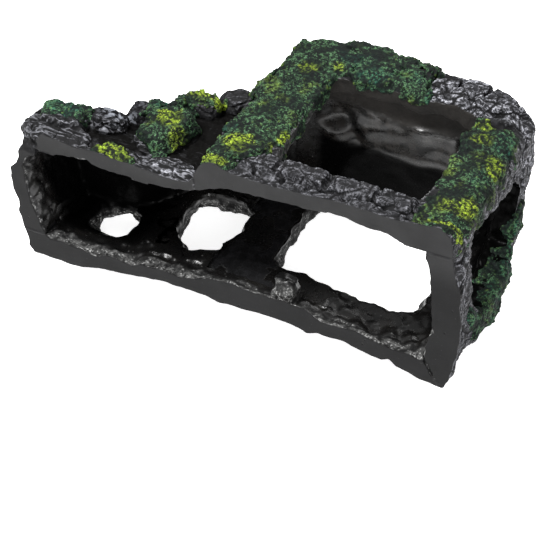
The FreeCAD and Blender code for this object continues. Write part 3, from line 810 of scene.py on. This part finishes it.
def spots(px, py, pts, P, seed):
    w = np.zeros(len(px))
    jx, jy = vn(P, 5.0, seed) * .010, vn(P, 5.0, seed + 1) * .010
    for cx, cy, rx, ry, k in pts:
        r = np.sqrt(((px + jx - cx) / rx) ** 2 + ((py + jy - cy) / ry) ** 2)
        w = np.maximum(w, k * sstep(1.25, .55, r))
    return w


def moss_piece(name, lo, hi, h, mask, nodes, thick=1.9, side=False, jag=1.0):
    """A mat of moulded moss that follows the rock below it and thins out at its rim."""
    g = Grid(lo, hi, h)
    out, cav = casting(g)
    A = np.maximum(out, -cav)
    m = mask(g).astype(f4)
    n2, n5 = lat(g, 2.4, 51), lat(g, 5.0, 52)
    t = np.clip(-m + n5 * 2.2 * jag + n2 * 1.1 * jag, -2.4, 3.0)
    t = np.where(t > 0, np.minimum(t * .8, thick), t) + (n2 * .45 + n5 * .35) * sstep(-.5, 1, t)
    PX, PY = np.meshgrid(g.x / S, g.y / S, indexing="ij")
    cap = top_height(PX, np.clip(PY, 0, 1)) * S
    F = np.maximum(A - t, -A - 1.0)
    if not side:
        F = np.maximum(F, (g.Z - cap[:, :, None] - 2.5 - n2 * .5) * .6)
    F = np.maximum(F, .05 - g.Y)
    V, Q = nets(F, g)
    V, Q, used = keep_manifold(V, Q)
    N = normals(V, Q)
    skin = sstep(-.6, .2, sample(A, g, V))
    W = V.copy()
    if not side:
        W[:, 0] += .35 * V[:, 1] * .3
    f1, f2, val = worley(W + .7 * np.stack([vn(V, 3, 61), vn(V, 3, 62), vn(V, 3, 63)], 1), (1.75, 2.2, 1.75), 9)
    g1 = np.clip(.62 - f1, -.4, .6)
    f1b, f2b, valb = worley(V, (1.25, 1.25, 1.25), 10)
    g2 = np.clip(.6 - f1b, -.4, .6)
    bump = (g1 * 1.15 + g2 * .45 + (val - .5) * .35) * skin * sstep(.05, 1.5, V[:, 1])
    V = V + N * bump[:, None]
    V[:, 1] = np.maximum(V[:, 1], .02)
    # no tuft stands clear of the deck
    over = V[:, 2] - .4105 * S
    V[:, 2] = np.where(over > 0, .4105 * S + .22 * over, V[:, 2])
    px, py = V[:, 0] / S, V[:, 1] / S
    N2 = normals(V, Q)
    cv = convexity(V, N2, Q, 4)
    tip = sstep(-.02, .26, cv)
    pit = sstep(.02, .30, -cv)
    if side:
        br = sstep(.3, .9, vn(V, 9.0, 71)) * .25
        tl = sstep(-.3, .4, vn(V, 13.0, 72)) * .8
    else:
        br = spots(px, py, BRIGHT, V, 73)
        tl = spots(px, py, TEAL, V, 75)
        br = np.maximum(br, .30 * sstep(.30, .8, vn(V, 8.0, 77)))
    attrs = {"tip": tip, "pit": pit, "bright": br, "teal": tl, "cell": val}
    return make_object(name, V, Q, attrs, MATS["moss"], nodes, sharp=0)


def plan_mask(pts, zmin=.33):
    def f(g):
        PX, PY = np.meshgrid(g.x, g.y, indexing="ij")
        d = sd_poly(PX, PY, pts)[:, :, None]
        return np.maximum(d, (zmin * S - g.Z) * 1.0)
    return f


# ------------------------------------------------------------------ materials
def nt(name):
    m = bpy.data.materials.new(name)
    m.use_nodes = True
    t = m.node_tree
    t.nodes.clear()
    o = t.nodes.new("ShaderNodeOutputMaterial")
    b = t.nodes.new("ShaderNodeBsdfPrincipled")
    t.links.new(b.outputs[0], o.inputs[0])
    return m, t, b


def N_(t, kind, **kw):
    n = t.nodes.new(kind)
    for k, v in kw.items():
        setattr(n, k, v)
    return n


def attr(t, name):
    n = N_(t, "ShaderNodeAttribute")
    n.attribute_type = "GEOMETRY"
    n.attribute_name = name
    return n.outputs["Fac"]


def noise(t, scale, detail=3, rough=.55, vec=None, dist=0.0):
    n = N_(t, "ShaderNodeTexNoise")
    n.inputs["Scale"].default_value = scale
    n.inputs["Detail"].default_value = detail
    n.inputs["Roughness"].default_value = rough
    n.inputs["Distortion"].default_value = dist
    if vec is not None:
        t.links.new(vec, n.inputs["Vector"])
    return n.outputs["Fac"]


def coord(t, scale=(1, 1, 1)):
    c = N_(t, "ShaderNodeTexCoord")
    m = N_(t, "ShaderNodeMapping")
    m.inputs["Scale"].default_value = scale
    t.links.new(c.outputs["Object"], m.inputs["Vector"])
    return m.outputs[0]


def math_(t, op, a, b=None, clamp=False):
    n = N_(t, "ShaderNodeMath", operation=op, use_clamp=clamp)
    for k, v in enumerate((a, b)):
        if v is None:
            continue
        if isinstance(v, (int, float)):
            n.inputs[k].default_value = v
        else:
            t.links.new(v, n.inputs[k])
    return n.outputs[0]


def ramp(t, fac, lo, hi):
    n = N_(t, "ShaderNodeMapRange", interpolation_type="SMOOTHSTEP")
    n.inputs["From Min"].default_value = lo
    n.inputs["From Max"].default_value = hi
    t.links.new(fac, n.inputs["Value"])
    return n.outputs["Result"]


def mixc(t, fac, a, b):
    n = N_(t, "ShaderNodeMix", data_type="RGBA")
    for s, v in ((n.inputs[0], fac), (n.inputs[6], a), (n.inputs[7], b)):
        if isinstance(v, (int, float)):
            s.default_value = v
        elif isinstance(v, tuple):
            s.default_value = (*v, 1)
        else:
            t.links.new(v, s)
    return n.outputs[2]


def mixf(t, fac, a, b):
    n = N_(t, "ShaderNodeMix", data_type="FLOAT")
    for s, v in ((n.inputs[0], fac), (n.inputs[2], a), (n.inputs[3], b)):
        if isinstance(v, (int, float)):
            s.default_value = v
        else:
            t.links.new(v, s)
    return n.outputs[0]


def bump(t, b, h, strength, dist):
    n = N_(t, "ShaderNodeBump")
    n.inputs["Strength"].default_value = strength
    n.inputs["Distance"].default_value = dist
    t.links.new(h, n.inputs["Height"])
    t.links.new(n.outputs[0], b.inputs["Normal"])


def rock_material():
    m, t, b = nt("cast_rock")
    v = coord(t)
    ground, gloss, dry, crease_shade_and_joints = attr(t, "ground"), attr(t, "gloss"), attr(t, "dry"), attr(t, "crease_shade_and_joints")
    stone, light, recess_shade, lip = attr(t, "stone"), attr(t, "light"), attr(t, "recess_shade"), attr(t, "lip")
    band, relief, interior_shade, strata = attr(t, "band"), attr(t, "relief"), attr(t, "interior_shade"), attr(t, "strata")
    big = noise(t, 55, 4, .6, v)
    mid = noise(t, 260, 4, .62, v)
    fin = noise(t, 900, 3, .6, v)
    # exterior rock: charcoal with pale, lavender-grey brushing on what stands proud
    c = mixc(t, ramp(t, big, .35, .68), (.0024, .0024, .0027), (.0080, .0079, .0086))
    c = mixc(t, ramp(t, mid, .42, .72), c, (.0130, .0128, .0142))
    c = mixc(t, math_(t, "MULTIPLY", stone, ramp(t, mid, .30, .62)), c, (.0145, .0145, .0170))
    # thin pale lines along broken edges, drawn out along the layers on the stair side
    vein = math_(t, "ABSOLUTE", math_(t, "SUBTRACT", noise(t, 210, 2, .5, v, 1.1), .5))
    vein = ramp(t, vein, .035, .008)
    layer = noise(t, 330, 2, .5, coord(t, (.16, 1.0, .55)), .5)
    lay = ramp(t, math_(t, "ABSOLUTE", math_(t, "SUBTRACT", layer, .52)), .045, .010)
    lines = mixf(t, strata, math_(t, "MULTIPLY", vein, math_(t, "ADD", .05, math_(t, "MULTIPLY", stone, .85))), math_(t, "MULTIPLY", lay, 1.5))
    lines = math_(t, "MULTIPLY", lines, ramp(t, mid, .38, .54))
    c = mixc(t, math_(t, "MULTIPLY", ramp(t, layer, .50, .43), math_(t, "MULTIPLY", strata, .92)), c, (.0022, .0022, .0024))
    brush = math_(t, "MULTIPLY", ramp(t, fin, .44, .64), dry)
    brush = math_(t, "MAXIMUM", brush, math_(t, "MULTIPLY", lines, math_(t, "ADD", .50, dry)))
    amount = math_(t, "ADD", .34, math_(t, "MULTIPLY", stone, .56))
    brush = math_(t, "MULTIPLY", brush, amount, True)
    c = mixc(t, brush, c, (.40, .405, .445))
    lt = math_(t, "MULTIPLY", light, ramp(t, mid, .48, .57), True)
    c = mixc(t, lt, c, (.19, .20, .225))
    # painted shade in creases, together with the near-black joints round the stones
    c = mixc(t, math_(t, "MULTIPLY", crease_shade_and_joints, .92), c, (.0022, .0022, .0024))
    # painted shade in the sunken floor between the boulders
    c = mixc(t, math_(t, "MULTIPLY", recess_shade, .93), c, (.0022, .0020, .0018))
    # rough broken lip inside the ring and in the windows
    lc = mixc(t, ramp(t, mid, .40, .66), (.007, .007, .007), (.060, .060, .059))
    lc = mixc(t, math_(t, "MULTIPLY", ramp(t, fin, .45, .72), dry), lc, (.52, .52, .51))
    chip = math_(t, "MULTIPLY", ramp(t, fin, .58, .68), ramp(t, mid, .46, .54))
    lc = mixc(t, math_(t, "MULTIPLY", chip, .9), lc, (.30, .30, .295))
    c = mixc(t, lip, c, lc)
    # ground face
    pits = N_(t, "ShaderNodeTexVoronoi", feature="F1")
    pits.inputs["Scale"].default_value = 210
    t.links.new(v, pits.inputs["Vector"])
    pit = ramp(t, pits.outputs["Distance"], .17, .09)
    pit = math_(t, "MULTIPLY", pit, ramp(t, noise(t, 60, 2, .5, v), .60, .66))
    sep = N_(t, "ShaderNodeSeparateXYZ")
    t.links.new(v, sep.inputs[0])
    gc = mixc(t, ramp(t, big, .3, .7), (.0125, .0125, .0128), (.0185, .0185, .019))
    gl = mixc(t, ramp(t, big, .3, .7), (.0034, .0034, .0036), (.0062, .0062, .0065))
    gc = mixc(t, ramp(t, sep.outputs[2], .062, .080), gl, gc)
    gc = mixc(t, ramp(t, fin, .62, .80), gc, (.036, .036, .037))
    gc = mixc(t, math_(t, "MULTIPLY", pit, .8), gc, (.004, .004, .004))
    c = mixc(t, ground, c, gc)
    ic = mixc(t, ramp(t, big, .40, .75), (.0032, .0031, .0031), (.0075, .0068, .0062))
    # painted highlights: tiny pale glints on the black gloss inside
    glint_cells = N_(t, "ShaderNodeTexVoronoi", feature="F1")
    glint_cells.inputs["Scale"].default_value = 330
    t.links.new(v, glint_cells.inputs["Vector"])
    painted_glints = math_(t, "MULTIPLY", ramp(t, glint_cells.outputs["Distance"], .16, .08), ramp(t, mid, .52, .60))
    ic = mixc(t, painted_glints, ic, (.12, .12, .115))
    # painted shade: the deepest inside surfaces go near black
    ic = mixc(t, interior_shade, ic, (.0011, .0011, .0011))
    blot = noise(t, 75, 3, .55, v, 1.2)
    ic = mixc(t, relief, ic, mixc(t, ramp(t, blot, .43, .52), (.0012, .0011, .001), mixc(t, ramp(t, mid, .35, .65), (.0040, .0035, .0031), (.0125, .0109, .0096))))
    c = mixc(t, gloss, c, ic)
    c = mixc(t, band, c, mixc(t, ramp(t, big, .35, .65), (.0085, .0078, .0070), (.0150, .0134, .0120)))
    t.links.new(c, b.inputs["Base Color"])
    r = mixf(t, ground, .72, .55)
    r = mixf(t, gloss, r, math_(t, "ADD", .20, math_(t, "MULTIPLY", mid, .16)))
    t.links.new(r, b.inputs["Roughness"])
    r2 = mixf(t, interior_shade, .14, .04)
    spec = mixf(t, gloss, r2, mixf(t, interior_shade, .40, .03))
    spec = mixf(t, recess_shade, spec, .04)
    spec = mixf(t, ground, spec, .10)
    b.inputs["Specular IOR Level"].default_value = .14
    t.links.new(spec, b.inputs["Specular IOR Level"])
    h = math_(t, "ADD", math_(t, "MULTIPLY", mid, .6), math_(t, "MULTIPLY", fin, .55))
    amt = math_(t, "SUBTRACT", 1.0, math_(t, "MULTIPLY", ground, .93))
    amt = math_(t, "SUBTRACT", amt, math_(t, "MULTIPLY", gloss, .80), True)
    h = math_(t, "MULTIPLY", h, amt)
    h = math_(t, "SUBTRACT", h, math_(t, "MULTIPLY", math_(t, "MULTIPLY", pit, ground), .7))
    bump(t, b, h, .75, .0009)
    return m


def moss_material():
    m, t, b = nt("moulded_moss")
    v = coord(t)
    tip, pit, bright, teal, cell = (attr(t, k) for k in ("tip", "pit", "bright", "teal", "cell"))
    fin = noise(t, 700, 4, .65, v)
    mid = noise(t, 230, 3, .6, v)
    big = noise(t, 70, 3, .6, v)
    base = mixc(t, ramp(t, big, .38, .64), (.0010, .0030, .0028), (.0024, .0064, .0036))
    base = mixc(t, math_(t, "MULTIPLY", teal, .85), base, (.0020, .0130, .0100))
    c = mixc(t, math_(t, "MULTIPLY", tip, ramp(t, fin, .30, .62)), base, (.0125, .0330, .0160))
    c = mixc(t, math_(t, "MULTIPLY", math_(t, "MULTIPLY", teal, tip), ramp(t, mid, .35, .6)), c, (.020, .110, .072))
    hot = math_(t, "MULTIPLY", bright, math_(t, "ADD", math_(t, "MULTIPLY", tip, .8), math_(t, "MULTIPLY", ramp(t, mid, .38, .62), .45)), True)
    c = mixc(t, math_(t, "MULTIPLY", hot, ramp(t, fin, .22, .58)), c, (.19, .275, .018))
    spark = math_(t, "MULTIPLY", ramp(t, cell, .70, .95), math_(t, "MULTIPLY", tip, ramp(t, big, .42, .60)))
    c = mixc(t, math_(t, "MULTIPLY", spark, .45), c, (.14, .22, .03))
    fil = ramp(t, math_(t, "ABSOLUTE", math_(t, "SUBTRACT", noise(t, 330, 3, .6, v, 1.6), .5)), .050, .012)
    fil = math_(t, "MULTIPLY", fil, ramp(t, noise(t, 120, 2, .5, v), .42, .56))
    fcol = mixc(t, ramp(t, bright, .15, .6), (.085, .185, .085), (.36, .48, .037))
    c = mixc(t, math_(t, "MULTIPLY", fil, .80), c, fcol)
    gap = ramp(t, noise(t, 480, 2, .5, v, .6), .53, .42)
    c = mixc(t, math_(t, "MULTIPLY", gap, .94), c, (.0009, .0024, .0021))
    c = mixc(t, math_(t, "MULTIPLY", pit, .92), c, (.0015, .0045, .0035))
    t.links.new(c, b.inputs["Base Color"])
    b.inputs["Roughness"].default_value = .65
    b.inputs["Specular IOR Level"].default_value = .14
    h = math_(t, "ADD", math_(t, "MULTIPLY", fin, .6), math_(t, "MULTIPLY", mid, .5))
    bump(t, b, h, .9, .0010)
    return m


MATS["rock"] = rock_material()
MATS["moss"] = moss_material()

# ------------------------------------------------------------------ build
HR = .80       # visible rock
HI = 1.0       # hidden sides
HM = .62       # moss

rock_piece("lower_wall_cast", (-.06, 0, -.01), (1.06, .56, .18), HR, "lower", ["lower_window_wall", "ring_filler"])
rock_piece("left_end_cast", (-.06, 0, .05), (.06, .26, .32), HR, "left", ["left_end_wall"])
rock_piece("side_panel_cast", (-.02, 0, .29), (.44, .44, .375), HR, "panel", ["upper_side_panel"])
rock_piece("deck_frame_cast", (.42, 0, .29), (1.03, .52, .43), HR, "deck",
           ["deck_frame_panel"] + ["front_brick_%d" % k for k in (1, 2, 3, 4)] + ["corner_stone_%d" % k for k in (1, 2, 3)])
rock_piece("right_end_cast", (.92, 0, -.01), (1.07, .56, .36), HR, "right", ["right_end_wall", "front_jamb_stone", "back_jamb_stone"])
for i in range(6):
    rock_piece("step_%d_cast" % (i + 1), (STEP_X[i] - .02, .05, .05), (STEP_X[i + 1] + .01, TREAD[i] + .03, .32), HI, "step%d" % (i + 1), ["step_%d" % (i + 1)])
rock_piece("platform_cast", (.41, .34, .05), (.96, .56, .37), HI, "platform", ["platform_slab"])
rock_piece("coping_cast", (.42, .48, .29), (1.03, .57, .43), HR, "coping", ["back_coping"])
for nme, bd in BOULDERS.items():
    rr = max(bd[2], bd[3]) * 1.15
    rock_piece(nme + "_cast", (bd[0] - rr, bd[1] - rr, .33), (bd[0] + rr, bd[1] + rr, .40), HR * .9, boulder_region(nme), [nme])

DECK_LEFT = [(.437, .012), (.470, .004), (.498, .006), (.535, .060), (.556, .100), (.566, .16), (.566, .39), (.575, .42), (.60, .425), (.60, .50), (.585, .515), (.50, .512), (.45, .508), (.436, .48), (.440, .40), (.438, .25), (.432, .12)]
DECK_BACK = [(.590, .430), (.62, .418), (.70, .416), (.775, .415), (.785, .45), (.765, .475), (.770, .50), (.757, .545), (.60, .56), (.545, .545), (.545, .50), (.590, .49)]
DECK_RIGHT = [(.902, .02), (.930, .008), (.962, .004), (.990, .02), (1.0, .08), (1.0, .36), (.985, .385), (.945, .390), (.900, .392), (.893, .36), (.892, .10)]
moss_piece("moss_deck_left_mat", (.415, -.005, .33), (.61, .55, .43), HM, plan_mask(DECK_LEFT, .368), ["moss_deck_left"])
moss_piece("moss_deck_back_mat", (.53, .40, .29), (.80, .58, .44), HM, plan_mask(DECK_BACK, .384), ["moss_deck_back"])
moss_piece("moss_deck_right_mat", (.88, -.005, .29), (1.03, .41, .43), HM, plan_mask(DECK_RIGHT, .352), ["moss_deck_right"])
moss_piece("moss_ledge_mat", (.16, -.005, .33), (.32, .07, .38), HM, plan_mask([(.19, .003), (.22, .000), (.285, .000), (.290, .012), (.25, .036), (.205, .036), (.186, .018)], .335), ["moss_ledge"])
moss_piece("moss_foot_mat", (.02, .02, .34), (.16, .13, .40), HM, plan_mask([(.018, .040), (.050, .036), (.090, .046), (.128, .064), (.136, .10), (.09, .112), (.02, .10)], .35), ["moss_foot"])
moss_piece("moss_middle_mat", (.21, -.0, .33), (.39, .23, .40), HM, plan_mask([(.228, .135), (.250, .11), (.262, .072), (.285, .052), (.335, .048), (.368, .066), (.368, .10), (.352, .16), (.335, .205), (.305, .226), (.285, .238), (.252, .222), (.240, .195), (.232, .175)], .350), ["moss_middle"])
moss_piece("moss_upper_mat", (.26, .19, .34), (.42, .36, .40), HM, plan_mask([(.275, .215), (.30, .206), (.36, .215), (.385, .235), (.375, .262), (.31, .270), (.278, .245)], .35), ["moss_upper"])
moss_piece("moss_top_mat", (.39, .26, .34), (.46, .42, .40), HM, plan_mask([(.405, .30), (.43, .29), (.445, .33), (.445, .39), (.42, .395), (.405, .35)], .35), [])


def sill_mask(g):
    RY, RZ = np.meshgrid(g.y, g.z, indexing="ij")
    d = sd_poly(RY, RZ, [(.105, .062), (.13, .03), (.22, .018), (.33, .03), (.365, .07), (.42, .13), (.44, .20), (.415, .205), (.392, .14), (.355, .094), (.28, .090), (.20, .098), (.14, .105), (.118, .135), (.10, .12)])[None]
    return np.maximum(d, .975 * S - g.X)


moss_piece("moss_sill_mat", (.96, .09, -.01), (1.07, .47, .18), HM, sill_mask, ["moss_sill"], side=True)

# ------------------------------------------------------------------ floor, light, camera
def plane(name, half, z, mat):
    me = bpy.data.meshes.new(name)
    me.from_pydata([(-half, -half, z), (half, -half, z), (half, half, z), (-half, half, z)], [], [(0, 1, 2, 3)])
    me.materials.append(mat)
    ob = bpy.data.objects.new(name, me)
    bpy.context.scene.collection.objects.link(ob)
    return ob


fm, ft, fb = nt("pale_floor")
fv = coord(ft)
fc = mixc(ft, noise(ft, 3, 2, .5, fv), (.88, .88, .88), (.90, .90, .90))
ft.links.new(fc, fb.inputs["Base Color"])
ft.links.new(fc, fb.inputs["Emission Color"])
fb.inputs["Emission Strength"].default_value = .95
fb.inputs["Roughness"].default_value = .9
fb.inputs["Specular IOR Level"].default_value = .1
plane("floor", 4.0, -.0002, fm)

world = bpy.data.worlds.new("soft")
bpy.context.scene.world = world
world.use_nodes = True
bg = world.node_tree.nodes["Background"]
bg.inputs[0].default_value = (1, 1, 1, 1)
bg.inputs[1].default_value = .52


def area(name, loc, target, size, power):
    li = bpy.data.lights.new(name, "AREA")
    li.shape = "RECTANGLE"
    li.size, li.size_y = size
    li.energy = power
    ob = bpy.data.objects.new(name, li)
    ob.location = loc
    ob.rotation_euler = (Vector(target) - Vector(loc)).to_track_quat("-Z", "Y").to_euler()
    bpy.context.scene.collection.objects.link(ob)


area("key", (-.35, -.30, .95), (0, 0, .05), (.35, .35), 19)
area("fill", (.8, -1.0, .55), (0, 0, .05), (.6, .5), 7)
area("rim", (.2, .9, .8), (0, 0, .05), (.8, .4), 6)

cam = bpy.data.cameras.new("cam")
co = bpy.data.objects.new("cam", cam)
bpy.context.scene.collection.objects.link(co)
pos = np.array([1.5522, -1.9676, 2.0982]) * S
R = np.array([[0.9020, 0.4317, 0.0017], [-0.2875, 0.5978, 0.7483], [0.3220, -0.6755, 0.6634]])
M = Matrix(((R[0][0], R[1][0], R[2][0], (pos[0] - CX) / 1000), (R[0][1], R[1][1], R[2][1], (pos[1] - CY) / 1000),
            (R[0][2], R[1][2], R[2][2], pos[2] / 1000), (0, 0, 0, 1)))
co.matrix_world = M
cam.sensor_width = 36
cam.lens = 1402.4 / 550 * 36
cam.clip_start, cam.clip_end = .01, 50
bpy.context.scene.camera = co
bpy.context.scene.view_settings.view_transform = "Standard"

for s in STATS:
    print("PIECE %-24s v %7d tris %7d" % s)
